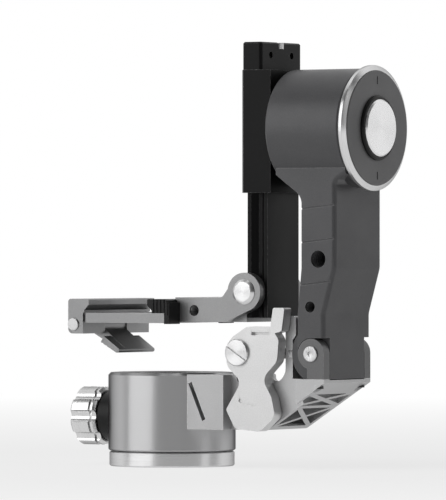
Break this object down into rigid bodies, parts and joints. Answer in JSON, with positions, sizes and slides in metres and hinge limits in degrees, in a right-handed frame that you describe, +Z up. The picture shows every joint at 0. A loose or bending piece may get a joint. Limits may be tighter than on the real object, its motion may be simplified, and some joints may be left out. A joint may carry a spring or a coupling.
{
  "type": "gimbal tripod head",
  "caption": "Folding gimbal head for a tripod: panning base, side arm, tilt bearing, height rail and a dovetail platform for a long lens.",
  "frame": {"origin": "pan axis at the underside of the base plate, where the tripod's top plate seats", "axes": "+Z up along the pan axis, +X from the pan axis to the main arm, the lens looks along -Y"},
  "size_m": [0.1652, 0.0643, 0.198],
  "materials": {
    "turned_silver": "turned bright silver",
    "steel": "machined steel",
    "black_steel": "black oxide",
    "polymer": "moulded slip polymer",
    "satin_grey": "satin grey anodised",
    "dark_anodised": "black anodised",
    "bright_bracket": "bead-blasted silver",
    "arm_grey": "fine satin grey",
    "knob_silver": "polished silver",
    "arm_charcoal": "fine satin charcoal",
    "bronze": "sintered bronze",
    "black_anodised": "black anodised",
    "disc_charcoal": "fine satin charcoal",
    "medallion_silver": "spun light silver",
    "platform_grey": "grey anodised"
  },
  "bodies": {
    "foot": {"base_plate": "turned_silver", "tripod_socket": "steel", "pan_spindle": "steel", "spindle_screws": "black_steel", "thrust_bearing": "steel", "slip_washer": "polymer", "spindle_nut": "steel"},
    "pan": {"pan_housing": "satin_grey", "pan_cap": "dark_anodised", "brake_shoe": "polymer", "knob_collar": "dark_anodised", "root_bracket": "bright_bracket", "bracket_screws": "black_steel", "hinge_ears": "arm_grey", "ear_screws": "black_steel", "lever_pin": "turned_silver", "hinge_pin": "steel", "hinge_nut": "steel", "lock_plunger": "steel"},
    "pan_lock": {"pan_knob": "knob_silver", "pan_knob_stud": "steel"},
    "lever": {"lock_lever": "bright_bracket"},
    "arm": {"main_arm": "arm_charcoal", "tilt_housing": "arm_charcoal", "hinge_bushes": "bronze", "tilt_bearing_inner": "steel", "tilt_bearing_outer": "steel", "drag_washer": "polymer"},
    "swing": {"tilt_axle": "steel", "flange_screws": "black_steel", "bearing_spacer": "steel", "axle_nut": "steel", "rail_clamp": "black_anodised", "rail_jaw": "black_anodised", "jaw_screws": "steel", "height_brake_pad": "polymer"},
    "tilt_lock": {"disc_rim": "turned_silver", "tilt_disc": "disc_charcoal", "medallion_bezel": "dark_anodised", "medallion": "medallion_silver"},
    "rail": {"height_rail": "black_anodised", "rail_stop_cap": "black_anodised", "stop_cap_screws": "steel"},
    "height_lock": {"height_knob": "knob_silver", "height_knob_stud": "steel"},
    "platform": {"platform_bar": "platform_grey", "fold_pin": "turned_silver", "fold_nut": "steel", "clamp_bed": "platform_grey", "fixed_jaw": "dark_anodised", "bed_screws": "black_steel", "draw_bolt": "steel"},
    "jaw": {"moving_jaw": "platform_grey", "jaw_guide_pins": "steel", "flip_pin": "steel"},
    "flip": {"clamp_lever": "platform_grey"}
  },
  "joints": [
    {"name": "pan_turn", "type": "hinge", "parent": "foot", "child": "pan", "pos_m": [0, 0, 0], "axis": [0, 0, 1], "continuous": true},
    {"name": "pan_lock_turn", "type": "hinge", "parent": "pan", "child": "pan_lock", "pos_m": [-0.04, 0, 0.023], "axis": [1, 0, 0], "range_deg": [0, 270]},
    {"name": "lever_turn", "type": "hinge", "parent": "pan", "child": "lever", "pos_m": [0.05, 0, 0.054], "axis": [0, -1, 0], "range_deg": [0, 15], "stiffness_Nm_per_rad": 0.05, "springref_deg": -17.19},
    {"name": "arm_fold", "type": "hinge", "parent": "pan", "child": "arm", "pos_m": [0.09, 0, 0.0537], "axis": [0, 1, 0], "range_deg": [0, 90]},
    {"name": "tilt_turn", "type": "hinge", "parent": "arm", "child": "swing", "pos_m": [0.109, 0, 0.1577], "axis": [1, 0, 0], "continuous": true},
    {"name": "tilt_lock_turn", "type": "hinge", "parent": "arm", "child": "tilt_lock", "pos_m": [0.109, 0, 0.1577], "axis": [1, 0, 0], "range_deg": [0, 270]},
    {"name": "height_slide", "type": "slide", "parent": "swing", "child": "rail", "axis": [0, 0, 1], "range_m": [0, 0.03]},
    {"name": "height_lock_turn", "type": "hinge", "parent": "swing", "child": "height_lock", "pos_m": [0.0565, 0.026, 0.1577], "axis": [0, 1, 0], "range_deg": [0, 270]},
    {"name": "platform_fold", "type": "hinge", "parent": "rail", "child": "platform", "pos_m": [0.052, 0, 0.082], "axis": [0, 1, 0], "range_deg": [0, 90]},
    {"name": "jaw_slide", "type": "slide", "parent": "platform", "child": "jaw", "axis": [-1, 0, 0], "range_m": [0, 0.0025]},
    {"name": "clamp_lever_turn", "type": "hinge", "parent": "jaw", "child": "flip", "pos_m": [-0.037, 0, 0.0666], "axis": [0, 1, 0], "range_deg": [0, 90]}
  ],
  "couplings": [
    {"joint": "clamp_lever_turn", "follows": "jaw_slide", "rad_per_m": 628}
  ]
}
